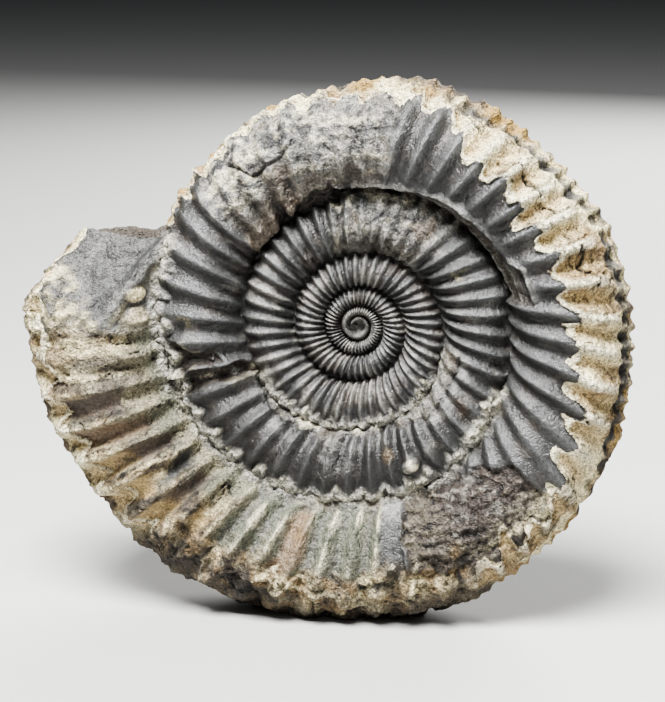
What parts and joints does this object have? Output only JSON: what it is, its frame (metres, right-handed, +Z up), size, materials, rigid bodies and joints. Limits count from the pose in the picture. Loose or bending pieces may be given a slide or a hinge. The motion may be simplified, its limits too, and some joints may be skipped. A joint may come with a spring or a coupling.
{
  "type": "dactylioceras ammonite fossil",
  "caption": "Ribbed flat-coiled ammonite fossil that stands on edge on a small flat spot, with a broken mouth and flaky crust on its rim.",
  "frame": {"origin": "middle of the bounding box at its base, on the surface that the fossil stands on", "axes": "+X across the coil to the right seen from its better side, which faces -Y; +Y through its thickness; +Z up"},
  "size_m": [0.0932, 0.0244, 0.082],
  "materials": {
    "fossil_stone": null
  },
  "bodies": {
    "root": {"ammonite": "fossil_stone"}
  },
  "joints": []
}
